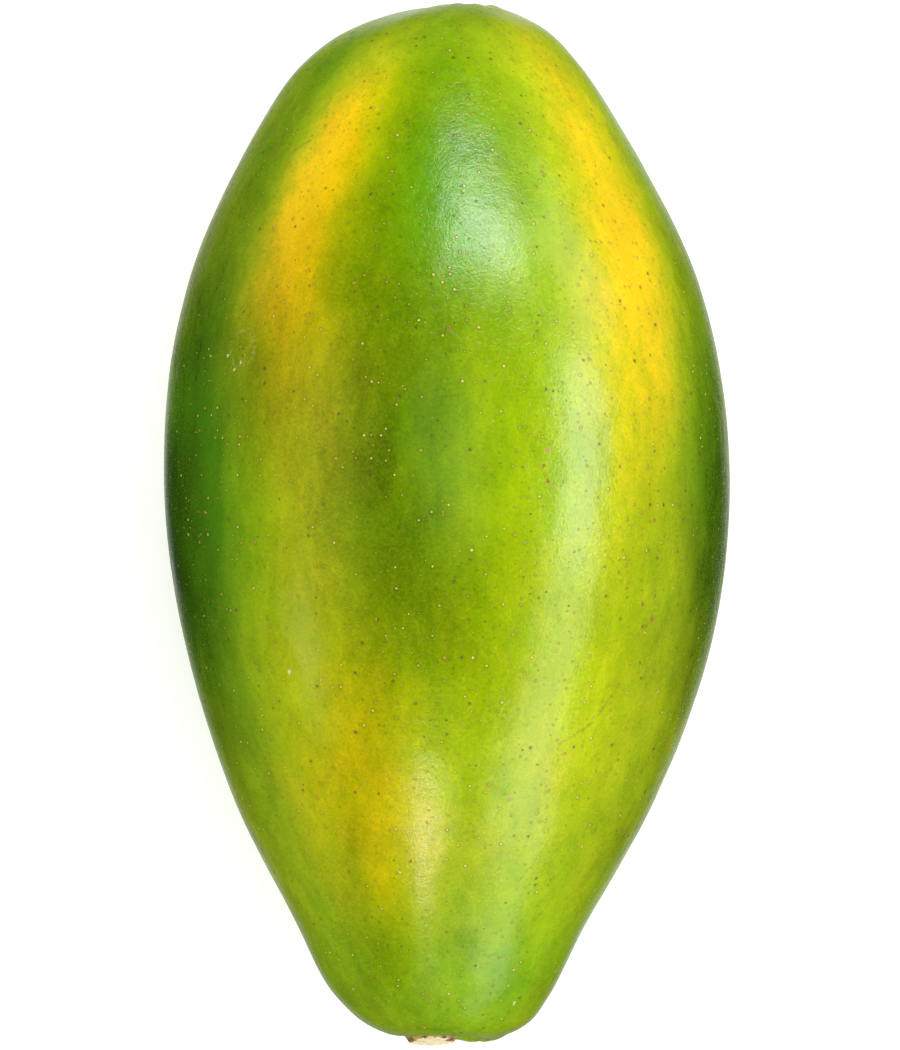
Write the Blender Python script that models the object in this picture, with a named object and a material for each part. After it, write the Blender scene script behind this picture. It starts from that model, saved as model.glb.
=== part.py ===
"""A papaya, picked and lying on its side on a small flat spot.

Metres, +Z up. The stem end points along -Y and the blossom end along +Y. The origin is on the resting
surface, under the middle of the fruit's bounding box. The whole fruit grew as one piece: skin, shallow
lobes, the cut stub of its stalk and the dimple at the blossom end are one solid.
"""

import math

import bmesh
import bpy
from mathutils import Vector

# Driving dimensions, in metres
LENGTH = 0.2595  # along the axis, without the stub, the shoulders and the dimple
WIDTH = 0.1400  # across the widest section, before the lobes swell it
STUB_RADIUS = 0.0058  # the cut face of the stalk
STUB_HEIGHT = 0.0025  # how far the cut face stands above the foot of the stub
REST_DEPTH = 0.0010  # how much of the underside is pressed flat

# How finely the skin is divided
SEGMENTS = 72
RINGS = 52

# The skin's outline from stem to blossom end. A polar angle of 0 is the stem end, 90 the middle of the length
# and 180 the blossom end. The fullness multiplies an ellipse that is LENGTH long and WIDTH wide.
FULLNESS = (
    (0, 1.02),
    (12, 1.085),
    (24, 0.913),
    (39, 0.80),
    (58, 0.875),
    (77, 0.955),
    (96, 1.003),
    (116, 1.012),
    (139, 0.975),
    (152, 1.015),
    (164, 1.075),
    (180, 0.95),
)

# How far the middle of each section lies off the straight axis, to the side, as a share of WIDTH
BOW = (
    (0, 0.000),
    (13, 0.000),
    (28, -0.012),
    (48, -0.009),
    (75, 0.001),
    (96, -0.001),
    (120, -0.008),
    (150, -0.013),
    (166, 0.010),
    (180, 0.050),
)

# Five lobes run the length of the fruit: a broad one along the top, from one side's shoulder to the other's,
# and four narrower ones. Their depth is a share of the radius, from stem to blossom end.
LOBES = 5
BROAD_LOBE_DEG = 88.0  # where the broad lobe's crest lies round the axis: 0 is +X and 90 is up
LOBE_UNEVENNESS = 2.0  # 0 would make all five alike
LOBE_DEPTH = ((0, 0.0), (20, 0.006), (45, 0.011), (90, 0.012), (128, 0.018), (158, 0.042), (180, 0.05))
GROOVE_SHARPNESS = 1.4  # above 1, a groove is narrower than a crest

# The blossom end: the lobes' shoulders stand up round a dimple with a small dry tip in it
SHOULDER_HEIGHT = 0.0002
SHOULDER_LEAN = 0.0002  # how much further the upper shoulders stand than the lower ones
SHOULDER_DEG = 9.0
SHOULDER_SPREAD_DEG = 4.5
DIMPLE_DEPTH = 0.0022
DIMPLE_DEG = 4.5
TIP_HEIGHT = 0.0009
TIP_DEG = 2.2

# The cut stub: the middle of its foot from the stem end of the axis, how far its face looks up, and its
# turned profile as (share of STUB_RADIUS, share of STUB_HEIGHT) from the middle of the cut face to the foot
STUB_FOOT = Vector((-0.0040, 0.0030, 0.0030))
STUB_TILT_DEG = 17.0
STUB_PROFILE = ((0.0, 0.94), (0.45, 0.96), (0.82, 1.0), (1.0, 0.88), (1.12, 0.48), (1.28, 0.15), (1.6, 0.0))

# The collar of skin round the stub, from its foot out to a polar angle of COLLAR_DEG
COLLAR_RINGS = 4
COLLAR_DEG = 12.0
COLLAR_SWELL = 0.12  # how far the collar swells past the stub's foot, as a share of its width there
COLLAR_LEAN = 0.7  # how unevenly it swells: most at COLLAR_LEAN_DEG round the axis and least opposite
COLLAR_LEAN_DEG = -15.0

HALF_LENGTH = LENGTH / 2
HALF_WIDTH = WIDTH / 2


def clear_scene():
    for thing in list(bpy.data.objects):
        bpy.data.objects.remove(thing, do_unlink=True)


def along(stations, x):
    """A smooth curve through the (place, value) stations, read at x."""
    places = [place for place, _ in stations]
    last = len(stations) - 2
    i = min(max(sum(place <= x for place in places) - 1, 0), last)
    slopes = []
    for k in (i, i + 1):
        before, after = stations[max(k - 1, 0)], stations[min(k + 1, last + 1)]
        slopes.append((after[1] - before[1]) / (after[0] - before[0]))
    (x0, y0), (x1, y1) = stations[i], stations[i + 1]
    step = x1 - x0
    t = (x - x0) / step
    rise = y0 * (2 * t**3 - 3 * t**2 + 1) + y1 * (3 * t**2 - 2 * t**3)
    return rise + step * (slopes[0] * (t**3 - 2 * t**2 + t) + slopes[1] * (t**3 - t**2))


def lobe_wave(around_deg):
    """1 on a lobe's crest and -1 in the groove between two lobes."""
    turn = math.radians(around_deg - BROAD_LOBE_DEG)
    wave = math.cos(LOBES * turn - LOBE_UNEVENNESS * math.sin(turn))
    return 1 - 2 * ((1 - wave) / 2) ** GROOVE_SHARPNESS


def skin_point(polar_deg, around_deg):
    """A point of the skin, with the fruit's axis along Y through the origin."""
    polar, around = math.radians(polar_deg), math.radians(around_deg)
    wave = lobe_wave(around_deg)
    radius = HALF_WIDTH * math.sin(polar) * along(FULLNESS, polar_deg)
    radius *= 1 + along(LOBE_DEPTH, polar_deg) * wave
    from_tip = 180 - polar_deg
    shoulder = SHOULDER_HEIGHT * wave + SHOULDER_LEAN * math.sin(around)
    shoulder *= math.exp(-(((from_tip - SHOULDER_DEG) / SHOULDER_SPREAD_DEG) ** 2))
    dimple = DIMPLE_DEPTH * math.exp(-((from_tip / DIMPLE_DEG) ** 2))
    tip = TIP_HEIGHT * math.exp(-((from_tip / TIP_DEG) ** 2))
    length = shoulder - dimple + tip - HALF_LENGTH * math.cos(polar)
    side = WIDTH * along(BOW, polar_deg)
    return Vector((side + radius * math.cos(around), length, radius * math.sin(around)))


def stub_point(radius, height, around_deg):
    """A point of the stalk's cut stub, which stands on the stem end and faces a little upwards."""
    around, tilt = math.radians(around_deg), math.radians(STUB_TILT_DEG)
    outward = Vector((0.0, -math.cos(tilt), math.sin(tilt)))
    upward = Vector((0.0, math.sin(tilt), math.cos(tilt)))
    across = Vector((math.cos(around), 0.0, 0.0)) + math.sin(around) * upward
    foot = Vector((0.0, -HALF_LENGTH, 0.0)) + STUB_FOOT
    return foot + STUB_RADIUS * radius * across + STUB_HEIGHT * height * outward


def collar_point(share, around_deg):
    """A point of the collar, from the foot of the stub at a share of 0 to the open skin at 1."""
    foot = stub_point(*STUB_PROFILE[-1], around_deg)
    rim = skin_point(COLLAR_DEG, around_deg)
    swell = COLLAR_SWELL * (rim - foot).length * math.sin(math.pi * share)
    swell *= 1 + COLLAR_LEAN * math.cos(math.radians(around_deg - COLLAR_LEAN_DEG))
    return foot.lerp(rim, share) - Vector((0.0, swell, 0.0))


def surface_point(ring, around_deg):
    """A point on a ring: the stub's own rings come first, then the collar's, then the skin's."""
    foot = len(STUB_PROFILE) - 1
    rim = foot + COLLAR_RINGS
    if ring <= foot:
        return stub_point(*STUB_PROFILE[ring], around_deg)
    if ring < rim:
        return collar_point((ring - foot) / COLLAR_RINGS, around_deg)
    share = (ring - rim) / (RINGS - rim)
    return skin_point(COLLAR_DEG + (180 - COLLAR_DEG) * share, around_deg)


def grow_skin(body):
    """A sphere whose rings become the stub and the skin, from the stem end to the blossom end."""
    bmesh.ops.create_uvsphere(body, u_segments=SEGMENTS, v_segments=RINGS, radius=1.0)
    for vertex in body.verts:
        polar = math.acos(max(-1.0, min(1.0, vertex.co.z)))
        ring = round(RINGS * polar / math.pi)
        around_deg = math.degrees(math.atan2(vertex.co.y, vertex.co.x))
        vertex.co = surface_point(ring, around_deg)


def press_flat(body):
    """Cuts the underside level, REST_DEPTH above its lowest point."""
    height = min(vertex.co.z for vertex in body.verts) + REST_DEPTH
    cut = bmesh.ops.bisect_plane(
        body,
        geom=body.verts[:] + body.edges[:] + body.faces[:],
        plane_co=(0.0, 0.0, height),
        plane_no=(0.0, 0.0, 1.0),
        clear_inner=True,
    )
    rim = [item for item in cut["geom_cut"] if isinstance(item, bmesh.types.BMEdge)]
    bmesh.ops.contextual_create(body, geom=rim)


def stand_on_origin(body):
    """Moves the fruit so that the middle of its box is over the origin and its flat spot is at Z = 0."""
    low = Vector(min(vertex.co[axis] for vertex in body.verts) for axis in range(3))
    high = Vector(max(vertex.co[axis] for vertex in body.verts) for axis in range(3))
    middle = (low + high) / 2
    bmesh.ops.translate(body, verts=body.verts, vec=(-middle.x, -middle.y, -low.z))


def skin_material():
    material = bpy.data.materials.new("papaya_skin")
    material.use_nodes = True
    shader = material.node_tree.nodes["Principled BSDF"]
    shader.inputs["Base Color"].default_value = (0.25, 0.38, 0.01, 1.0)
    shader.inputs["Roughness"].default_value = 0.4
    shader.inputs["Metallic"].default_value = 0.0
    return material


def make_papaya(collection):
    body = bmesh.new()
    grow_skin(body)
    press_flat(body)
    stand_on_origin(body)
    bmesh.ops.triangulate(body, faces=body.faces[:])
    mesh = bpy.data.meshes.new("papaya")
    body.to_mesh(mesh)
    body.free()
    mesh.shade_smooth()
    mesh.set_sharp_from_angle(angle=math.radians(40))
    mesh.materials.append(skin_material())
    papaya = bpy.data.objects.new("papaya", mesh)
    collection.objects.link(papaya)
    return papaya


def main():
    clear_scene()
    collection = bpy.data.collections.new("papaya")
    bpy.context.scene.collection.children.link(collection)
    make_papaya(collection)


main()
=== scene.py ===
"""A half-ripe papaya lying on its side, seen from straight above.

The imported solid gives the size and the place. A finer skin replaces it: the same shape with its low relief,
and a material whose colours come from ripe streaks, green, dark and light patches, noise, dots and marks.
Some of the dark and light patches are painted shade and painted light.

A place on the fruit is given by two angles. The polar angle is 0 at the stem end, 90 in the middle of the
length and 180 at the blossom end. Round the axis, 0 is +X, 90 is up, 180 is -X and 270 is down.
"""

import math

import bpy
import numpy as np
from mathutils import Matrix, Vector, noise


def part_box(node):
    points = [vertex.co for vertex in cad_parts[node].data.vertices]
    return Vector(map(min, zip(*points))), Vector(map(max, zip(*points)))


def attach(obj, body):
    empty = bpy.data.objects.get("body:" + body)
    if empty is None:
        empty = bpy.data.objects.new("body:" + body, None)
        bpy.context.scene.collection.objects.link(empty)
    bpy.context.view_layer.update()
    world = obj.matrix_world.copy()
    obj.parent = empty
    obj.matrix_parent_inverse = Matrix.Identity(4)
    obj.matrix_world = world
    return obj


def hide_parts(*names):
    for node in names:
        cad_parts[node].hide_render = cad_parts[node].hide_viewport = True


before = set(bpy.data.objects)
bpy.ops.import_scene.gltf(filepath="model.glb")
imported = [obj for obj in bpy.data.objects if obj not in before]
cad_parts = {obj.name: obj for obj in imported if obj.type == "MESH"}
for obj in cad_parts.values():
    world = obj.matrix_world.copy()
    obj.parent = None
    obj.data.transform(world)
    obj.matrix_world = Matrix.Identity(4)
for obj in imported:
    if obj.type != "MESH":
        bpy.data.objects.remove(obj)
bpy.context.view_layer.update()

# ----------------------------------------------------------------------------------------------------
# Shape: the solid's own stations, with its size read from its box
# ----------------------------------------------------------------------------------------------------

LOW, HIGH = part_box("papaya")
LENGTH = HIGH.y - LOW.y
PLAIN_SHARE = 0.991  # of the box's width: the widest section before the lobes swell it
WIDTH = (HIGH.x - LOW.x) * PLAIN_SHARE
REST_DEPTH = 0.0010  # how much of the underside is pressed flat

# The skin's outline from stem to blossom end: multiplies an ellipse that is LENGTH long and WIDTH wide
FULLNESS = (
    (0, 1.02),
    (12, 1.085),
    (24, 0.913),
    (39, 0.80),
    (58, 0.875),
    (77, 0.955),
    (96, 1.003),
    (116, 1.012),
    (139, 0.975),
    (152, 1.015),
    (164, 1.075),
    (180, 0.95),
)

# How far the middle of each section lies off the straight axis, to the side, as a share of WIDTH
BOW = (
    (0, 0.000),
    (13, 0.000),
    (28, -0.012),
    (48, -0.009),
    (75, 0.001),
    (96, -0.001),
    (120, -0.008),
    (150, -0.013),
    (166, 0.010),
    (180, 0.050),
)

# Five shallow lobes, the broad one along the top
LOBES = 5
BROAD_LOBE_DEG = 88.0
LOBE_UNEVENNESS = 2.0
LOBE_DEPTH = ((0, 0.0), (20, 0.006), (45, 0.011), (90, 0.012), (128, 0.018), (158, 0.042), (180, 0.05))
GROOVE_SHARPNESS = 1.4

# The blossom end: shoulders round a dimple with a small dry tip in it
SHOULDER_HEIGHT = 0.0002
SHOULDER_LEAN = 0.0002
SHOULDER_DEG = 9.0
SHOULDER_SPREAD_DEG = 4.5
DIMPLE_DEPTH = 0.0022
DIMPLE_DEG = 4.5
TIP_HEIGHT = 0.0009
TIP_DEG = 2.2

# The cut stub of the stalk and the collar of skin round it
STUB_RADIUS = 0.0058
STUB_HEIGHT = 0.0025
STUB_FOOT = (-0.0040, 0.0030, 0.0030)
STUB_TILT_DEG = 17.0
STUB_PROFILE = ((0.0, 0.94), (0.45, 0.96), (0.82, 1.0), (1.0, 0.88), (1.12, 0.48), (1.28, 0.15), (1.6, 0.0))
COLLAR_DEG = 12.0
COLLAR_SWELL = 0.12
COLLAR_LEAN = 0.7
COLLAR_LEAN_DEG = -15.0
COLLAR_REACH = 2  # what the whole collar adds to from_stub, which is in stub radii as far as the stub's foot

# How finely the skin is divided
SEGMENTS = 384
STUB_RINGS = 22
COLLAR_RINGS = 20
SKIN_RINGS = 208


def along(stations, x):
    """A smooth curve through the (place, value) stations, read at each x."""
    places, values = np.array(stations, float).T
    last = len(places) - 1
    before = np.maximum(np.arange(last + 1) - 1, 0)
    after = np.minimum(np.arange(last + 1) + 1, last)
    slopes = (values[after] - values[before]) / (places[after] - places[before])
    i = np.clip(np.searchsorted(places, x, side="right") - 1, 0, last - 1)
    step = places[i + 1] - places[i]
    t = (x - places[i]) / step
    rise = values[i] * (2 * t**3 - 3 * t**2 + 1) + values[i + 1] * (3 * t**2 - 2 * t**3)
    return rise + step * (slopes[i] * (t**3 - 2 * t**2 + t) + slopes[i + 1] * (t**3 - t**2))


def bell(x, middle, spread, power=2):
    """1 at the middle and about a third at one spread away. A higher power has steeper flanks."""
    return np.exp(-(np.abs((x - middle) / spread) ** power))


def lobe_wave(around_deg):
    """1 on a lobe's crest and -1 in the groove between two lobes."""
    turn = np.radians(around_deg - BROAD_LOBE_DEG)
    wave = np.cos(LOBES * turn - LOBE_UNEVENNESS * np.sin(turn))
    return 1 - 2 * ((1 - wave) / 2) ** GROOVE_SHARPNESS


def skin_points(polar_deg, around_deg):
    """Points of the open skin, with the fruit's axis along Y through the origin."""
    polar, around = np.radians(polar_deg), np.radians(around_deg)
    wave = lobe_wave(around_deg)
    radius = WIDTH / 2 * np.sin(polar) * along(FULLNESS, polar_deg)
    radius = radius * (1 + along(LOBE_DEPTH, polar_deg) * wave)
    from_tip = 180 - polar_deg
    shoulder = (SHOULDER_HEIGHT * wave + SHOULDER_LEAN * np.sin(around)) * bell(
        from_tip, SHOULDER_DEG, SHOULDER_SPREAD_DEG
    )
    dimple = DIMPLE_DEPTH * bell(from_tip, 0, DIMPLE_DEG)
    tip = TIP_HEIGHT * bell(from_tip, 0, TIP_DEG)
    length = shoulder - dimple + tip - LENGTH / 2 * np.cos(polar)
    side = WIDTH * along(BOW, polar_deg)
    return np.stack((side + radius * np.cos(around), length, radius * np.sin(around)), axis=-1)


def stub_points(radius, height, around_deg):
    """A ring of the stalk's cut stub, which stands on the stem end and faces a little upwards."""
    around, tilt = np.radians(around_deg), math.radians(STUB_TILT_DEG)
    outward = np.array((0.0, -math.cos(tilt), math.sin(tilt)))
    upward = np.array((0.0, math.sin(tilt), math.cos(tilt)))
    across = np.outer(np.cos(around), (1.0, 0.0, 0.0)) + np.outer(np.sin(around), upward)
    foot = np.array((0.0, -LENGTH / 2, 0.0)) + STUB_FOOT
    return foot + STUB_RADIUS * radius * across + STUB_HEIGHT * height * outward


def collar_points(share, around_deg):
    """A ring of the collar, from the foot of the stub at a share of 0 to the open skin at 1."""
    foot = stub_points(*STUB_PROFILE[-1], around_deg)
    rim = skin_points(np.full_like(around_deg, COLLAR_DEG), around_deg)
    swell = COLLAR_SWELL * np.linalg.norm(rim - foot, axis=1) * math.sin(math.pi * share)
    swell *= 1 + COLLAR_LEAN * np.cos(np.radians(around_deg - COLLAR_LEAN_DEG))
    points = foot + (rim - foot) * share
    points[:, 1] -= swell
    return points


def grow_rings():
    """All rings from the middle of the cut face to the blossom tip, as (rings, segments, 3).

    With them come each ring's polar angle, the angles round the axis, and how far each ring is from the
    middle of the cut face, in stub radii up to the foot of the stub and in shares of COLLAR_REACH after it.
    """
    around_deg = np.arange(SEGMENTS) * 360.0 / SEGMENTS
    profile = np.array(STUB_PROFILE)
    steps = np.arange(len(profile))
    at = np.linspace(0, len(profile) - 1, STUB_RINGS + 1)
    radii = along(np.column_stack((steps, profile[:, 0])), at)
    heights = along(np.column_stack((steps, profile[:, 1])), at)
    shares = np.linspace(0, 1, COLLAR_RINGS + 1)[1:-1]
    polars = np.linspace(COLLAR_DEG, 180, SKIN_RINGS + 1)
    rings = [stub_points(radius, height, around_deg) for radius, height in zip(radii, heights)]
    rings += [collar_points(share, around_deg) for share in shares]
    rings += [skin_points(np.full(SEGMENTS, polar), around_deg) for polar in polars]
    foot_deg = COLLAR_DEG / 2
    stub_polars = radii / radii[-1] * foot_deg
    collar_polars = foot_deg + (COLLAR_DEG - foot_deg) * shares
    polar_deg = np.concatenate((stub_polars, collar_polars, polars))
    collar_reach = radii[-1] + COLLAR_REACH * shares
    skin_reach = np.full(len(polars), radii[-1] + COLLAR_REACH)
    from_stub = np.concatenate((radii, collar_reach, skin_reach))
    return np.array(rings), polar_deg, around_deg, from_stub


def fit_to_solid(points):
    """Presses the underside flat and brings the points to the solid's own box."""
    points[:, 2] = np.maximum(points[:, 2], points[:, 2].min() + REST_DEPTH)
    low, high = points.min(axis=0), points.max(axis=0)
    scale = (np.array(HIGH) - np.array(LOW)) / (high - low)
    return (points - (low + high) / 2) * scale + (np.array(HIGH) + np.array(LOW)) / 2


def ring_faces(rings):
    """Quads between the rings and triangles at the two poles. The points are numbered ring by ring."""
    last = 1 + (rings - 3) * SEGMENTS
    tip = last + SEGMENTS
    faces = []
    for s in range(SEGMENTS):
        t = (s + 1) % SEGMENTS
        faces.append((0, 1 + s, 1 + t))
        for a in range(1, last, SEGMENTS):
            b = a + SEGMENTS
            faces.append((a + s, b + s, b + t, a + t))
        faces.append((tip, last + t, last + s))
    return faces


# ----------------------------------------------------------------------------------------------------
# Low relief of the skin, in metres
# ----------------------------------------------------------------------------------------------------

DENTS = ((0.024, 0.00028), (0.011, 0.00011), (0.005, 0.00004))  # (size, height) of the soft dents
DENT_STRETCH = 1.4  # how much longer they are than wide
DENT_SEED = 3.3
# A swelling at the blossom end, one on the neck and a hollow above the stub, as
# (polar angle, angle round the axis, their two spreads in degrees, height)
SWELLINGS = (
    (171.5, 36.0, 5.0, 16.0, 0.0006),
    (43.0, 97.0, 9.0, 16.0, 0.0012),
    (10.5, 95.0, 5.0, 34.0, -0.0009),
)
REST_CLEARANCE = 0.004  # the relief fades out over this height above the resting surface
COLLAR_FOLDS = 11
COLLAR_FOLD_HEIGHT = 0.00022
COLLAR_FOLD_PLACE = (2.1, 0.9)  # where the folds are highest and how far they spread, by from_stub
TIP_FOLDS = 13
TIP_FOLD_HEIGHT = 0.00016
TIP_FOLD_PLACE = (174.5, 4.0)  # the same at the dry tip, as polar angles
SCAR_ROUGHNESS = 0.00018
SCAR_GRAIN = 0.0012
SCAR_SEED = 9.1
SCAR_EDGE = 1.25  # where the cut face's roughness ends, by from_stub, after fading over SCAR_FADE
SCAR_FADE = 0.3


def noise_at(points, size, seed, stretch=1.0):
    """Smooth noise between about -1 and 1 with features of this size, stretched along the fruit."""
    scaled = points * np.array((1.0, 1.0 / stretch, 1.0)) / size + np.array((seed, 2.7 * seed, 5.1 * seed))
    return np.array([noise.noise(Vector(point)) for point in scaled])


def relief(points, polar_deg, around_deg, from_stub):
    """How far each point of the skin stands above the smooth shape."""
    height = np.zeros(len(points))
    for seed, (size, depth) in enumerate(DENTS):
        height += depth * noise_at(points, size, seed + DENT_SEED, stretch=DENT_STRETCH)
    for polar, middle, polar_spread, around_spread, rise in SWELLINGS:
        height += rise * bell(polar_deg, polar, polar_spread) * bell(around_deg, middle, around_spread)
    around = np.radians(around_deg)
    # The inner waves space the folds unevenly
    fold = np.sin(COLLAR_FOLDS * around + 2.2 * np.sin(2 * around + 0.6) + 1.4 * np.sin(3 * around))
    height += COLLAR_FOLD_HEIGHT * fold * bell(from_stub, *COLLAR_FOLD_PLACE)
    tip_fold = np.sin(TIP_FOLDS * around + 1.9 * np.sin(2 * around + 1.9))
    height += TIP_FOLD_HEIGHT * tip_fold * bell(polar_deg, *TIP_FOLD_PLACE)
    on_scar = np.clip((SCAR_EDGE - from_stub) / SCAR_FADE, 0, 1)
    height += SCAR_ROUGHNESS * on_scar * noise_at(points, SCAR_GRAIN, SCAR_SEED)
    above_rest = np.clip((points[:, 2] - LOW.z) / REST_CLEARANCE, 0, 1)
    return height * above_rest**2


# ----------------------------------------------------------------------------------------------------
# Where the skin has ripened, where it is still green, and where it is darker or lighter, which is partly
# painted
# shade and painted light: each streak is a list of stations of (polar angle, angle round the axis, half width
# in degrees round the axis, strength)
# ----------------------------------------------------------------------------------------------------

BASE_RIPENESS = 0.5
RIPE_FLANK = 2.7  # how steep the flanks of the ripe streaks are, where 2 is an even bell

RIPE_STREAKS = (
    # The long streak left of the top, yellow towards the blossom end and olive further down
    ((162, 110, 14, 0.0), (152, 113, 13, 0.2), (143, 118, 15, 0.44), (130, 123, 16, 0.54),
     (118, 127, 16, 0.48), (106, 126, 18, 0.37), (97, 117, 20, 0.26), (84, 112, 21, 0.24),
     (73, 115, 19, 0.24), (62, 124, 18, 0.29), (51, 121, 15, 0.26), (42, 119, 13, 0.1),
     (34, 116, 13, 0.0)),
    # The one on the right
    ((172, 40, 20, 0.0), (160, 37, 21, 0.23), (146, 38, 20, 0.35), (134, 40, 19, 0.45),
     (116, 43, 18, 0.45), (104, 45, 14, 0.39), (95, 46, 13, 0.22), (84, 47, 18, 0.14),
     (66, 44, 22, 0.14), (52, 45, 22, 0.08), (44, 45, 20, 0.0)),
    # The patch towards the stem, and a faint one right of it
    ((78, 106, 11, 0.0), (70, 107, 11, 0.14), (61, 103, 13, 0.27), (54, 101, 13, 0.29),
     (46, 102, 12, 0.2), (38, 103, 12, 0.12), (30, 103, 10, 0.0)),
    ((76, 62, 13, 0.0), (68, 62, 13, 0.07), (60, 72, 15, 0.11), (52, 72, 15, 0.1),
     (44, 74, 14, 0.0)),
    # The right of the stem end
    ((30, 26, 22, 0.0), (21, 28, 26, 0.12), (12, 30, 30, 0.12), (2, 30, 30, 0.0)),
    # Underneath and at the back
    ((158, 205, 12, 0.0), (144, 204, 14, 0.34), (126, 202, 14, 0.42), (108, 201, 12, 0.2),
     (96, 200, 12, 0.0)),
    ((150, 262, 14, 0.0), (132, 264, 16, 0.3), (104, 266, 20, 0.36), (80, 265, 17, 0.24),
     (60, 263, 14, 0.0)),
    ((152, 322, 10, 0.0), (134, 323, 13, 0.4), (112, 325, 13, 0.42), (92, 327, 12, 0.18),
     (80, 328, 12, 0.0)),
)

GREEN_PATCHES = (
    # Along the crest
    ((164, 92, 18, 0.0), (156, 90, 18, 0.08), (148, 86, 17, 0.14), (140, 85, 18, 0.28),
     (130, 88, 19, 0.44), (121, 89, 17, 0.42), (114, 93, 13, 0.22), (106, 95, 10, 0.14),
     (98, 98, 11, 0.34), (88, 98, 11, 0.36), (78, 98, 10, 0.18), (71, 98, 9, 0.0)),
    # The grooves at the left and at the right
    ((170, 146, 16, 0.0), (156, 142, 14, 0.22), (140, 147, 12, 0.12), (124, 146, 12, 0.24),
     (114, 151, 14, 0.32), (102, 154, 20, 0.64), (90, 158, 22, 0.74), (80, 159, 19, 0.50),
     (70, 155, 15, 0.24), (60, 149, 14, 0.13), (50, 148, 12, 0.0)),
    ((120, 16, 10, 0.0), (108, 18, 12, 0.2), (96, 18, 13, 0.36), (86, 18, 12, 0.36),
     (76, 16, 10, 0.15), (66, 14, 10, 0.0)),
    # The stem end, all round, and once more on its right
    ((46, 90, 300, 0.0), (36, 90, 300, 0.13), (24, 90, 300, 0.12), (-1, 90, 300, 0.06)),
    ((42, 60, 26, 0.0), (34, 62, 28, 0.08), (26, 58, 30, 0.1), (18, 58, 30, 0.03),
     (10, 58, 30, 0.0)),
    # Underneath and at the back
    ((140, 234, 14, 0.0), (112, 234, 15, 0.3), (84, 232, 15, 0.34), (58, 230, 12, 0.0)),
    ((138, 296, 12, 0.0), (110, 295, 14, 0.26), (82, 297, 14, 0.32), (56, 298, 12, 0.0)),
)

DARK_PATCHES_AND_PAINTED_SHADE = (
    # The olive shadow left of the crest, and another further left
    ((146, 102, 9, 0.0), (136, 103, 9, 0.14), (122, 108, 13, 0.36), (112, 103, 17, 0.42),
     (104, 104, 15, 0.5), (94, 105, 14, 0.56), (86, 101, 18, 0.51), (78, 102, 17, 0.42),
     (70, 106, 13, 0.28), (62, 110, 10, 0.3), (50, 114, 12, 0.24), (38, 112, 14, 0.2),
     (26, 110, 14, 0.0)),
    ((122, 131, 10, 0.0), (112, 132, 12, 0.26), (103, 130, 12, 0.3), (92, 128, 10, 0.1),
     (84, 128, 10, 0.0)),
    # The left side and the right side: partly a darker green, partly painted shade on the sides
    ((152, 160, 20, 0.0), (140, 160, 20, 0.14), (120, 156, 20, 0.32), (110, 157, 19, 0.44),
     (103, 157, 20, 0.32), (96, 164, 18, 0.62), (84, 164, 18, 0.70), (72, 162, 18, 0.42),
     (50, 160, 18, 0.08), (30, 160, 18, 0.08), (20, 160, 18, 0.0)),
    ((142, 14, 16, 0.0), (128, 14, 16, 0.12), (116, 15, 16, 0.28), (104, 16, 16, 0.44),
     (92, 17, 16, 0.6), (80, 18, 16, 0.60), (66, 20, 16, 0.34), (50, 20, 16, 0.24),
     (36, 18, 14, 0.14), (24, 20, 24, 0.12), (14, 20, 28, 0.2), (2, 20, 28, 0.2)),
    # Right of the strip of light, and just right of the crest
    ((104, 45, 14, 0.0), (92, 45, 14, 0.1), (80, 45, 14, 0.1), (66, 45, 14, 0.0)),
    ((98, 83, 9, 0.0), (86, 82, 10, 0.1), (75, 81, 10, 0.2), (64, 80, 10, 0.03), (50, 80, 10, 0.12),
     (40, 80, 10, 0.13), (30, 80, 10, 0.0)),
    # Left of the patch towards the stem, and on to the stem end, where it is painted shade beside the stub
    ((76, 138, 20, 0.0), (66, 138, 22, 0.12), (54, 134, 18, 0.08), (43, 127, 18, 0.2),
     (32, 128, 24, 0.13), (20, 130, 30, 0.21), (8, 130, 34, 0.2), (0, 130, 34, 0.16)),
)

LIGHT_PATCHES_AND_PAINTED_LIGHT = (
    # Painted light: the right half towards the blossom end, and between the crest and the strip of light,
    # round that highlight
    ((166, 50, 44, 0.0), (152, 50, 44, 0.16), (130, 48, 28, 0.16), (116, 50, 26, 0.1),
     (104, 52, 22, 0.05), (94, 56, 18, 0.0)),
    ((132, 68, 11, 0.0), (122, 68, 12, 0.12), (110, 66, 12, 0.08), (98, 66, 12, 0.14),
     (78, 68, 12, 0.16), (70, 68, 12, 0.1), (62, 68, 12, 0.0)),
    # The right of the stem end
    ((50, 56, 24, 0.0), (40, 56, 24, 0.12), (28, 58, 26, 0.16), (18, 60, 28, 0.06),
     (8, 60, 30, 0.0)),
    # The crest, with painted light round its highlight, and right of it towards the stem
    ((138, 88, 16, 0.0), (128, 90, 18, 0.24), (120, 86, 18, 0.22), (114, 86, 14, 0.0)),
    ((76, 68, 12, 0.0), (66, 68, 12, 0.14), (46, 68, 12, 0.12), (38, 68, 12, 0.0)),
    # The left of the blossom end
    ((168, 124, 28, 0.0), (156, 126, 28, 0.1), (146, 120, 18, 0.13), (136, 121, 14, 0.14),
     (126, 124, 13, 0.06), (120, 124, 13, 0.0)),
)

# Where the skin is wrinkled: at the left towards the blossom end, at the right, and at the left towards the
# stem. A strength of 1 is WRINKLE_HEIGHT.
WRINKLE_HEIGHT = 0.00035
WRINKLES = (
    ((154, 158, 12, 0.0), (144, 160, 14, 1.0), (122, 166, 14, 1.0), (108, 168, 12, 0.4),
     (100, 168, 12, 0.0)),
    ((150, 20, 12, 0.0), (136, 12, 14, 0.6), (100, 8, 12, 0.5), (60, 8, 12, 0.5),
     (30, 10, 14, 0.0)),
    ((70, 170, 14, 0.0), (56, 168, 16, 0.7), (34, 166, 18, 0.7), (20, 166, 18, 0.0)),
)


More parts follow.
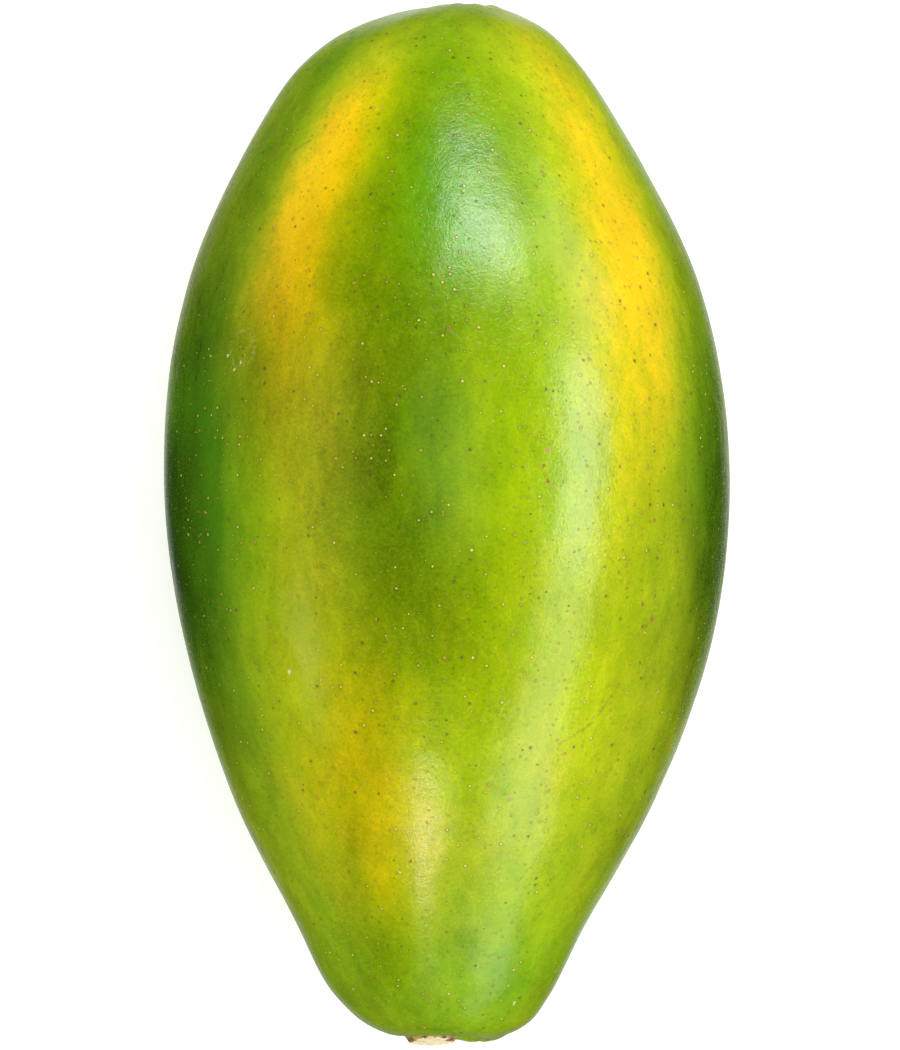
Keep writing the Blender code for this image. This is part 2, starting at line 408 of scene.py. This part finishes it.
def streak(stations, power, polar_deg, around_deg):
    """How strong one streak is at each place. A higher power gives it steeper flanks."""
    table = np.array(sorted(stations), float)
    reached = (polar_deg > table[0, 0]) & (polar_deg < table[-1, 0])
    inside = np.clip(polar_deg, table[0, 0], table[-1, 0])
    centre, half_width, strength = (along(table[:, (0, column)], inside) for column in (1, 2, 3))
    aside = (around_deg - centre + 180) % 360 - 180
    return reached * np.maximum(strength, 0) * bell(aside, 0, half_width, power)


def total(streaks, polar_deg, around_deg, power=2):
    """The strength of all these streaks together."""
    return sum(streak(stations, power, polar_deg, around_deg) for stations in streaks)


def ripeness(polar_deg, around_deg):
    """0 is deep green, 0.5 lime and 1 yellow."""
    ripe = total(RIPE_STREAKS, polar_deg, around_deg, power=RIPE_FLANK)
    return BASE_RIPENESS + ripe - total(GREEN_PATCHES, polar_deg, around_deg)


def lightness_and_painted_light(polar_deg, around_deg):
    """What the skin's colour is multiplied by: its dark and light patches, partly painted shade and painted
    light.
    """
    return 1 + total(LIGHT_PATCHES_AND_PAINTED_LIGHT, polar_deg, around_deg) - total(DARK_PATCHES_AND_PAINTED_SHADE, polar_deg, around_deg)


# ----------------------------------------------------------------------------------------------------
# The piece
# ----------------------------------------------------------------------------------------------------


def store(mesh, name, values):
    """Keeps one number a vertex, which the material reads by name."""
    attribute = mesh.attributes.new(name, "FLOAT", "POINT")
    attribute.data.foreach_set("value", np.ascontiguousarray(values, dtype=np.float32))


RIPENESS_CLOUDS = ((0.022, 0.07), (0.0085, 0.08))  # (size in metres, strength) of the mottling
LIGHTNESS_CLOUDS = ((0.014, 0.09), (0.0065, 0.12))
CLOUD_STRETCH = 1.8
RIPENESS_SEED, LIGHTNESS_SEED = 20.7, 40.9


def clouds(points, sizes, seed):
    """The mottling at each point: noise of several sizes, each with its strength."""
    layers = enumerate(sizes)
    return sum(share * noise_at(points, size, seed + i, CLOUD_STRETCH) for i, (size, share) in layers)


def make_skin():
    """The piece, and a function that gives the place on it of a polar angle and an angle round the axis."""
    rings, polar_deg, around_deg, from_stub = grow_rings()
    count = len(rings)
    open_rings = slice(SEGMENTS - 1, (count - 1) * SEGMENTS + 1)  # one point is enough at each pole
    points = fit_to_solid(rings.reshape(-1, 3))[open_rings]
    polar_deg, from_stub = (np.repeat(values, SEGMENTS)[open_rings] for values in (polar_deg, from_stub))
    around_deg = np.tile(around_deg, count)[open_rings]
    mesh = bpy.data.meshes.new("papaya_skin")
    mesh.from_pydata(points.tolist(), [], ring_faces(count))
    mesh.shade_smooth()
    normals = np.empty(len(points) * 3)
    mesh.vertex_normals.foreach_get("vector", normals)
    height = relief(points, polar_deg, around_deg, from_stub)
    points += normals.reshape(-1, 3) * height[:, None]
    mesh.vertices.foreach_set("co", points.ravel())
    mesh.update()
    ripe_clouds = clouds(points, RIPENESS_CLOUDS, RIPENESS_SEED)
    light_clouds = clouds(points, LIGHTNESS_CLOUDS, LIGHTNESS_SEED)
    store(mesh, "ripeness", ripeness(polar_deg, around_deg) + ripe_clouds)
    store(mesh, "lightness_and_painted_light", lightness_and_painted_light(polar_deg, around_deg) + light_clouds)
    store(mesh, "wrinkle_height", total(WRINKLES, polar_deg, around_deg) * WRINKLE_HEIGHT)
    store(mesh, "from_stub", from_stub)
    store(mesh, "from_tip", 180 - polar_deg)
    piece = bpy.data.objects.new("papaya_skin", mesh)
    bpy.context.scene.collection.objects.link(piece)

    def place_of(polar, around):
        """The vertex nearest to a polar angle and an angle round the axis."""
        return Vector(points[np.argmin(np.abs(polar_deg - polar) + np.abs(around_deg - around))])

    return piece, place_of


class Graph:
    """The nodes of one material. Each method adds a node and returns its output socket."""

    def __init__(self, material):
        material.use_nodes = True
        self.tree = material.node_tree
        self.shader = self.tree.nodes["Principled BSDF"]

    def plug(self, socket, value):
        if isinstance(value, bpy.types.NodeSocket):
            self.tree.links.new(value, socket)
        else:
            socket.default_value = value

    def add(self, kind, inputs, output=0, **settings):
        node = self.tree.nodes.new(kind)
        for name, value in settings.items():
            setattr(node, name, value)
        for name, value in inputs.items():
            self.plug(node.inputs[name], value)
        return node.outputs[output]

    def attribute(self, name):
        return self.add("ShaderNodeAttribute", {}, "Fac", attribute_name=name)

    def calc(self, operation, *values):
        return self.add("ShaderNodeMath", dict(enumerate(values)), operation=operation)

    def vector(self, operation, *values, output=0):
        return self.add("ShaderNodeVectorMath", dict(enumerate(values)), output, operation=operation)

    def scaled(self, vector, factor):
        return self.add("ShaderNodeVectorMath", {0: vector, "Scale": factor}, operation="SCALE")

    def fade(self, value, start, end):
        """0 at start and 1 at end, smooth between and level beyond. The start may be the larger."""
        inputs = {"Value": value, "From Min": start, "From Max": end}
        return self.add("ShaderNodeMapRange", inputs, interpolation_type="SMOOTHSTEP")

    def noise(self, place, size, detail=2.0, roughness=0.5, distortion=0.0):
        """Noise from -1 to 1 with features about size across."""
        inputs = {"Vector": place, "Scale": 1 / size, "Detail": detail, "Roughness": roughness}
        inputs["Distortion"] = distortion
        value = self.add("ShaderNodeTexNoise", inputs)
        return self.calc("MULTIPLY_ADD", value, 2.0, -1.0)

    def mix(self, share, a, b, blend_type="MIX"):
        """The colour a, with this share of the colour b."""
        inputs = {0: share, 6: a, 7: b}
        return self.add("ShaderNodeMix", inputs, 2, data_type="RGBA", blend_type=blend_type)

    def ramp(self, value, stops):
        colour = self.add("ShaderNodeValToRGB", {0: value})
        elements = colour.node.color_ramp.elements
        while len(elements) < len(stops):
            elements.new(0.5)
        for element, (position, shade) in zip(elements, stops):
            element.position = position
            element.color = (*shade, 1.0)
        return colour


# Linear colours of the skin by ripeness
SKIN_COLOURS = (
    (0.0, (0.10, 0.30, 0.0)),
    (0.25, (0.19, 0.38, 0.0)),
    (0.5, (0.31, 0.47, 0.0)),
    (0.7, (0.46, 0.54, 0.0)),
    (0.85, (0.65, 0.575, 0.0)),
    (1.0, (0.93, 0.61, 0.0)),
)

SCAB = (0.50, 0.35, 0.13, 1.0)
RUST = (0.33, 0.20, 0.03, 1.0)
WHITISH = (0.78, 0.72, 0.34, 1.0)
BARK = (0.20, 0.10, 0.03, 1.0)
AMBER = (0.55, 0.30, 0.06, 1.0)

# Scabs and spots as (polar angle, angle round the axis, radius, colour)
BLEMISHES = (
    (97.3, 70.1, 0.0007, SCAB),
    (95.8, 71.7, 0.0005, RUST),
    (94.7, 70.7, 0.0006, RUST),
    (93.2, 69.3, 0.0006, SCAB),
    (99.8, 33.4, 0.0006, RUST),
    (97.5, 44.0, 0.0005, RUST),
    (91.8, 41.0, 0.0005, BARK),
    (90.4, 44.0, 0.0006, RUST),
    (110.4, 89.5, 0.0006, RUST),
    (81.5, 46.0, 0.0006, RUST),
    (80.0, 42.5, 0.0008, RUST),
    (78.9, 44.5, 0.0006, RUST),
    (82.4, 42.0, 0.0005, RUST),
    (108.2, 142.0, 0.0005, WHITISH),
    (107.6, 136.5, 0.0005, WHITISH),
    (106.3, 138.5, 0.0004, WHITISH),
    (74.2, 127.0, 0.0005, WHITISH),
    (24.9, 48.0, 0.0004, WHITISH),
    (59.6, 72.9, 0.0006, SCAB),
    (60.4, 72.2, 0.0004, RUST),
    (51.3, 99.7, 0.0005, RUST),
    (50.1, 103.5, 0.0004, WHITISH),
    # Round the cut face
    (3.6, 172.0, 0.0014, BARK),
    (3.5, 150.0, 0.0012, BARK),
    (3.6, 128.0, 0.0010, AMBER),
    (3.6, 108.0, 0.0007, BARK),
    (3.7, 80.0, 0.0006, AMBER),
    (3.6, 55.0, 0.0008, BARK),
    (3.3, 24.0, 0.0014, BARK),
    (3.7, 4.0, 0.0010, AMBER),
    (5.0, 160.0, 0.0010, BARK),
    # Underneath and at the back
    (118.0, 215.0, 0.0010, RUST),
    (92.0, 248.0, 0.0012, SCAB),
    (70.0, 330.0, 0.0010, RUST),
    (126.0, 300.0, 0.0009, SCAB),
)
SPOT_EDGE, SPOT_FULL = 1.15, 0.6  # in radii: where a spot starts and where it is whole

# Scratches as two places on the skin each
SCRATCHES = (
    ((72.0, 50.5), (69.2, 53.5)),
    ((68.6, 54.5), (66.2, 63.0)),
    ((137.0, 146.0), (133.5, 150.0)),
    ((135.3, 131.0), (133.6, 137.5)),
)
SCRATCH_WIDTH = 0.0005
SCRATCH_CORE = 0.2 * SCRATCH_WIDTH
SCRATCH_STRENGTH = 0.45
RING_SCAR = (108.9, 137.0)  # a pale ring left of the long streak
RING_RADIUS = 0.0044
RING_WIDTH = 0.0008
RING_WAVE = 0.0022  # how far the ring strays from a circle
RING_BREAKS = (-0.3, 0.6)  # it fades in between these values of the grain
RING_STRENGTH = 0.22
MARK_WOBBLE = (0.0005, 0.0007, 0.0004)  # how far the grain moves the marks' edges

PALE_DOT = (0.90, 0.80, 0.22, 1.0)
TAN_DOT = (0.62, 0.34, 0.06, 1.0)
BROWN_DOT = (0.16, 0.10, 0.02, 1.0)
CREAM = (0.98, 0.86, 0.50, 1.0)
DRY_CREAM = (0.85, 0.64, 0.30, 1.0)
DRY_TIP = (0.09, 0.05, 0.02, 1.0)

# The dots: one to a cell, of a random kind and size
DOT_SPACING = 0.0018
DOT_RADIUS = 0.00042
DOT_LEAST, DOT_GROWTH = 0.42, 0.68  # the smallest dot, and what the largest adds to it, in DOT_RADIUS
DOT_RARITY = 3.0  # the higher, the fewer are large
TAN_KIND, BROWN_KIND = (0.45, 0.5), (0.80, 0.82)  # pale below the first, tan between, brown above the second
# Where each part of a dot starts and is whole, in the dot's own radii, and how much of its colour it takes
DOT_SPOT, SPOT_SHARE = (1.1, 0.7), 0.55
DOT_CORE, CORE_SHARE = (0.85, 0.35), 0.85
DOT_HALO, HALO_SHARE = (2.3, 0.9), 0.4
HALO_SHADE = (0.5, 0.5, 0.5, 1.0)
DOT_HEIGHT = 0.00009
PIT_DROP = -0.00016  # brown dots are pits, this much lower than the others


def dots(graph, place, colour):
    """Adds the skin's dots to the colour, and returns it with how far each dot stands up, in metres."""
    cells = {"Vector": place, "Scale": 1 / DOT_SPACING}
    distance = graph.add("ShaderNodeTexVoronoi", cells, "Distance")
    chance = graph.add("ShaderNodeSeparateColor", {0: distance.node.outputs["Color"]})
    kind, growth = chance, chance.node.outputs[1]
    radius = DOT_RADIUS / DOT_SPACING
    growth = graph.calc("POWER", growth, DOT_RARITY)
    size = graph.calc("MULTIPLY_ADD", growth, DOT_GROWTH * radius, DOT_LEAST * radius)
    outward = graph.calc("DIVIDE", distance, size)
    spot = graph.fade(outward, *DOT_SPOT)
    core = graph.fade(outward, *DOT_CORE)
    halo = graph.fade(outward, *DOT_HALO)
    pit = graph.fade(kind, *BROWN_KIND)
    tan = graph.fade(kind, *TAN_KIND)
    rim = graph.mix(pit, TAN_DOT, BROWN_DOT)
    middle = graph.mix(tan, PALE_DOT, TAN_DOT)
    middle = graph.mix(pit, middle, BROWN_DOT)
    darker = graph.mix(1.0, colour, HALO_SHADE, "MULTIPLY")
    colour = graph.mix(graph.calc("MULTIPLY", halo, HALO_SHARE), colour, darker)
    colour = graph.mix(graph.calc("MULTIPLY", spot, SPOT_SHARE), colour, rim)
    colour = graph.mix(graph.calc("MULTIPLY", core, CORE_SHARE), colour, middle)
    height = graph.calc("MULTIPLY", spot, graph.calc("MULTIPLY_ADD", pit, PIT_DROP, DOT_HEIGHT))
    return colour, height


def blemishes(graph, place, colour, grain, flecks, place_of):
    """Adds the scabs, scratches and the ring scar to the colour. place_of turns two angles into a place."""
    wobbly = graph.vector("ADD", place, graph.scaled(MARK_WOBBLE, grain))
    for polar_deg, around_deg, radius, shade in BLEMISHES:
        away = graph.vector("DISTANCE", wobbly, place_of(polar_deg, around_deg), output="Value")
        spot = graph.fade(away, SPOT_EDGE * radius, SPOT_FULL * radius)
        colour = graph.mix(spot, colour, shade)
    for start, end in SCRATCHES:
        start, end = place_of(*start), place_of(*end)
        stretch = end - start
        from_start = graph.vector("SUBTRACT", wobbly, start)
        share = graph.vector("DOT_PRODUCT", from_start, stretch / stretch.length_squared, output="Value")
        share = graph.add("ShaderNodeClamp", {0: share})
        away = graph.vector("DISTANCE", from_start, graph.scaled(stretch, share), output="Value")
        line = graph.calc("MULTIPLY", graph.fade(away, SCRATCH_WIDTH, SCRATCH_CORE), SCRATCH_STRENGTH)
        colour = graph.mix(line, colour, RUST)
    from_middle = graph.vector("DISTANCE", wobbly, place_of(*RING_SCAR), output="Value")
    from_middle = graph.calc("MULTIPLY_ADD", flecks, RING_WAVE, from_middle)
    off_ring = graph.calc("ABSOLUTE", graph.calc("SUBTRACT", from_middle, RING_RADIUS))
    broken = graph.calc("MULTIPLY", graph.fade(grain, *RING_BREAKS), RING_STRENGTH)
    ring = graph.calc("MULTIPLY", graph.fade(off_ring, RING_WIDTH, 0.0), broken)
    return graph.mix(ring, colour, WHITISH)


# The skin's fine pattern: long flecks, grain and thin lines
FLECK_SIZE, FLECK_STRETCH = 0.0030, (1.0, 0.42, 1.0)
GRAIN_SIZE = 0.0007
HAIR_SIZE, HAIR_WIDTH = 0.0017, 0.10
RIPPLE_SIZE = 0.0040
FLECK_RIPENESS, GRAIN_RIPENESS = 0.13, 0.05
FLECK_LIGHTNESS, GRAIN_LIGHTNESS, HAIR_LIGHTNESS = 0.13, 0.14, 0.10
HAIR_HEIGHT, GRAIN_HEIGHT, RIPPLE_HEIGHT = 0.000012, 0.000022, 0.000055
ROUGHNESS, FLECK_ROUGHNESS = 0.20, 0.05
WAX = 1.0  # the specular level of the waxy skin

# The cut face: where each zone starts and is whole, in stub radii from its middle
CUT_RAGGED = 0.2  # how far the grain moves its edge
CUT_FACE = (1.2, 1.06)
CUT_RIM = (0.9, 1.04)
CUT_DRY = (1.35, 1.15)
CUT_STAIN = (0.0, 0.3)  # the dry cream shows between these values of the thin lines' noise
DRY_ROUGHNESS = 0.5

# The dry tip, as angles from the blossom end
TIP_RAGGED = 1.2  # how far noise moves its edge
TIP_EDGE = (4.6, 2.2)  # where it starts and is whole


def skin_colour(graph, flecks, grain, hair):
    """The skin's colour without its dots and marks."""
    ripe = graph.calc("MULTIPLY_ADD", flecks, FLECK_RIPENESS, graph.attribute("ripeness"))
    ripe = graph.calc("MULTIPLY_ADD", grain, GRAIN_RIPENESS, ripe)
    light = graph.calc("MULTIPLY_ADD", flecks, FLECK_LIGHTNESS, graph.attribute("lightness_and_painted_light"))
    light = graph.calc("MULTIPLY_ADD", grain, GRAIN_LIGHTNESS, light)
    light = graph.calc("MULTIPLY_ADD", hair, HAIR_LIGHTNESS, light)
    return graph.scaled(graph.ramp(ripe, SKIN_COLOURS), light)


def stub_face(graph, colour, from_stub, grain, hairs):
    """Adds the stub's pale cut face, with its amber rim, to the colour."""
    ragged = graph.calc("MULTIPLY_ADD", grain, CUT_RAGGED, from_stub)
    cork = graph.mix(graph.fade(hairs, *CUT_STAIN), CREAM, DRY_CREAM)
    cork = graph.mix(graph.fade(ragged, *CUT_RIM), cork, AMBER)
    return graph.mix(graph.fade(ragged, *CUT_FACE), colour, cork)


def skin_material(place_of):
    material = bpy.data.materials.new("papaya_skin")
    graph = Graph(material)
    place = graph.add("ShaderNodeTexCoord", {}, "Object")
    lengthwise = graph.vector("MULTIPLY", place, FLECK_STRETCH)
    flecks = graph.noise(lengthwise, FLECK_SIZE, detail=3.0, roughness=0.65)
    grain = graph.noise(place, GRAIN_SIZE, detail=1.0, roughness=0.6)
    hairs = graph.noise(place, HAIR_SIZE, detail=1.0, distortion=0.8)
    hair = graph.fade(graph.calc("ABSOLUTE", hairs), HAIR_WIDTH, 0.0)
    ripples = graph.noise(place, RIPPLE_SIZE, roughness=0.6)
    from_stub = graph.attribute("from_stub")

    colour = skin_colour(graph, flecks, grain, hair)
    colour, dot_height = dots(graph, place, colour)
    colour = stub_face(graph, colour, from_stub, grain, hairs)
    colour = blemishes(graph, place, colour, grain, flecks, place_of)
    from_tip = graph.calc("MULTIPLY_ADD", hairs, TIP_RAGGED, graph.attribute("from_tip"))
    colour = graph.mix(graph.fade(from_tip, *TIP_EDGE), colour, DRY_TIP)
    graph.plug(graph.shader.inputs["Base Color"], colour)

    dry = graph.fade(from_stub, *CUT_DRY)
    rough = graph.calc("MULTIPLY_ADD", flecks, FLECK_ROUGHNESS, ROUGHNESS)
    rough = graph.calc("MULTIPLY_ADD", dry, DRY_ROUGHNESS, rough)
    graph.plug(graph.shader.inputs["Roughness"], rough)
    graph.plug(graph.shader.inputs["Specular IOR Level"], WAX)

    height = graph.calc("MULTIPLY_ADD", hair, HAIR_HEIGHT, dot_height)
    height = graph.calc("MULTIPLY_ADD", flecks, graph.attribute("wrinkle_height"), height)
    height = graph.calc("MULTIPLY_ADD", grain, GRAIN_HEIGHT, height)
    height = graph.calc("MULTIPLY_ADD", ripples, RIPPLE_HEIGHT, height)
    bump = graph.add("ShaderNodeBump", {"Height": height, "Distance": 1.0, "Strength": 1.0})
    graph.plug(graph.shader.inputs["Normal"], bump)
    return material


skin, place_of = make_skin()
skin.data.materials.append(skin_material(place_of))
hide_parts("papaya")
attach(skin, "root")

# ----------------------------------------------------------------------------------------------------
# Light, floor and camera
# ----------------------------------------------------------------------------------------------------

CENTRE = Vector((0.0, 0.0, (HIGH.z + LOW.z) / 2))
WHITE = (1.0, 1.0, 1.0, 1.0)
STRIP_TOP, STRIP_FOOT = Vector((0.83, 0.32, 0.47)), Vector((0.43, -0.84, 0.45))  # from the fruit's middle
STRIP_SPLIT = 0.45  # the share of the strip that is its bright upper part
WORLD_STRENGTH = 0.10


def softbox(name, centre, size, radiance, lengthwise, shines=True):
    """A rectangular lamp that faces the middle of the fruit, from which its centre is measured.

    A lamp that doesn't shine lights the skin without being mirrored in it.
    """
    light = bpy.data.lights.new(name, "AREA")
    light.shape = "RECTANGLE"
    light.size, light.size_y = size
    light.energy = radiance * math.pi * light.size * light.size_y
    lamp = bpy.data.objects.new(name, light)
    bpy.context.scene.collection.objects.link(lamp)
    away = Vector(centre).normalized()
    side = Vector(lengthwise)
    side = (side - away * side.dot(away)).normalized()
    facing = Matrix((side, away.cross(side), away)).transposed().to_4x4()
    lamp.matrix_world = Matrix.Translation(CENTRE + Vector(centre)) @ facing
    lamp.visible_glossy = shines
    lamp.visible_camera = False


def make_light():
    strip = STRIP_TOP - STRIP_FOOT
    joint = STRIP_TOP.lerp(STRIP_FOOT, STRIP_SPLIT)
    upper, lower = STRIP_SPLIT * strip.length, (1 - STRIP_SPLIT) * strip.length
    softbox("right_strip", (STRIP_TOP + joint) / 2, (upper, 0.30), 3.1, strip)
    softbox("right_strip_low", (joint + STRIP_FOOT) / 2, (lower, 0.32), 1.4, strip)
    softbox("top_box", (0.27, 0.74, 0.61), (0.38, 0.26), 3.3, (1, 0, 0))
    softbox("top_wide_box", (0.31, 0.765, 0.63), (0.62, 0.42), 1.9, (1, 0, 0))
    softbox("corner_box", (0.76, 0.58, 0.25), (0.50, 0.34), 1.0, (1, -1, 0))
    softbox("low_box", (-0.14, -0.785, 0.60), (0.11, 0.10), 5.0, (1, 0, 0))
    softbox("low_wide_box", (-0.12, -0.81, 0.62), (0.28, 0.18), 1.6, (1, 0, 0))
    softbox("low_side_box", (0.64, -0.70, 0.26), (0.20, 0.26), 1.0, (1, 0, 0))
    softbox("stem_glow", (0.50, -0.86, 0.14), (0.60, 0.20), 0.8, (1, 0, 0))
    softbox("left_strip", (-0.88, -0.40, 0.33), (0.26, 0.07), 1.5, (0, 1, 0))
    softbox("stem_fill", (0.0, -0.95, 0.35), (0.6, 0.5), 2.2, (1, 0, 0), shines=False)
    softbox("overhead", (0.0, 0.1, 1.9), (1.0, 1.0), 7.0, (1, 0, 0), shines=False)
    softbox("left_fill", (-0.80, 0.0, 0.60), (0.7, 0.7), 1.4, (0, 1, 0), shines=False)
    world = bpy.data.worlds.new("studio")
    bpy.context.scene.world = world
    world.use_nodes = True
    background = world.node_tree.nodes["Background"]
    background.inputs["Color"].default_value = WHITE
    background.inputs["Strength"].default_value = WORLD_STRENGTH
    world.cycles_visibility.glossy = False


FLOOR_SIZE = 6.0
PALE = (0.85, 0.85, 0.85, 1.0)
PALE_GLOW = 0.35
CARD_INNER, CARD_OUTER = 0.9, 1.6  # the card fades out between these multiples of the fruit's plan
CARD_STEM_START, CARD_STEM_END = 0.72, 1.10  # it also fades between these shares of the way to the stem end
CARD_POINTS = 60  # along each side
CARD_ENDS = (2, 178)  # the polar angles between which its sides run
CARD_HEIGHT = 0.0002  # how far the card lies above the floor, and under the fruit


def pale_material():
    material = bpy.data.materials.new("pale_card")
    material.use_nodes = True
    shader = material.node_tree.nodes["Principled BSDF"]
    shader.inputs["Base Color"].default_value = PALE
    shader.inputs["Roughness"].default_value = 0.9
    shader.inputs["Specular IOR Level"].default_value = 0.0
    shader.inputs["Emission Color"].default_value = WHITE
    shader.inputs["Emission Strength"].default_value = PALE_GLOW
    return material


def card_material():
    """The floor's white, fading to nothing towards the card's edge."""
    material = pale_material()
    graph = Graph(material)
    clear = graph.add("ShaderNodeBsdfTransparent", {})
    cover = graph.attribute("cover")
    faded = graph.add("ShaderNodeMixShader", {0: cover, 1: clear, 2: graph.shader.outputs[0]})
    graph.plug(material.node_tree.nodes["Material Output"].inputs["Surface"], faded)
    return material


def make_card():
    """A flat card in the shape of the fruit's plan, which only reflections show."""
    polar_deg = np.linspace(*CARD_ENDS, CARD_POINTS)
    right = skin_points(polar_deg, np.zeros(CARD_POINTS))
    left = skin_points(polar_deg[::-1], np.full(CARD_POINTS, 180.0))
    outline = np.concatenate((right, left))
    outline[:, 2] = 0
    count = len(outline)
    points = np.concatenate((outline * CARD_INNER, outline * CARD_OUTER))
    points += (0, 0, LOW.z - CARD_HEIGHT)
    rim = [(i, count + i, count + (i + 1) % count, (i + 1) % count) for i in range(count)]
    mesh = bpy.data.meshes.new("card")
    mesh.from_pydata(points.tolist(), [], [tuple(range(count))] + rim)
    to_stem = (outline[:, 1] / LOW.y - CARD_STEM_START) / (CARD_STEM_END - CARD_STEM_START)
    store(mesh, "cover", np.concatenate((1 - np.clip(to_stem, 0, 1), np.zeros(count))))
    card = bpy.data.objects.new("card", mesh)
    bpy.context.scene.collection.objects.link(card)
    card.visible_camera = False
    card.visible_diffuse = False
    card.visible_shadow = False
    return card


def make_floor():
    """A wide pale floor, and a card of the same white close round the fruit.

    Only the card is mirrored in the skin, as a narrow pale rim.
    """
    bpy.ops.mesh.primitive_plane_add(size=FLOOR_SIZE, location=(0, 0, LOW.z - 2 * CARD_HEIGHT))
    floor = bpy.context.object
    floor.name = "floor"
    floor.visible_glossy = False
    floor.data.materials.append(pale_material())
    card = make_card()
    card.data.materials.append(card_material())


FRAME_HEIGHT = LENGTH * 1.0095  # what the view takes in, top to bottom, at the height of the fruit's middle
VIEW_CENTRE = (0.00075, 0.00047)  # what the camera looks straight down on
LENS = 150.0
SENSOR = 36.0


def make_camera():
    data = bpy.data.cameras.new("camera")
    data.lens = LENS
    data.sensor_width = SENSOR
    camera = bpy.data.objects.new("camera", data)
    bpy.context.scene.collection.objects.link(camera)
    camera.location = (*VIEW_CENTRE, CENTRE.z + FRAME_HEIGHT * LENS / SENSOR)
    bpy.context.scene.camera = camera


make_light()
make_floor()
make_camera()
bpy.context.scene.view_settings.view_transform = "Standard"
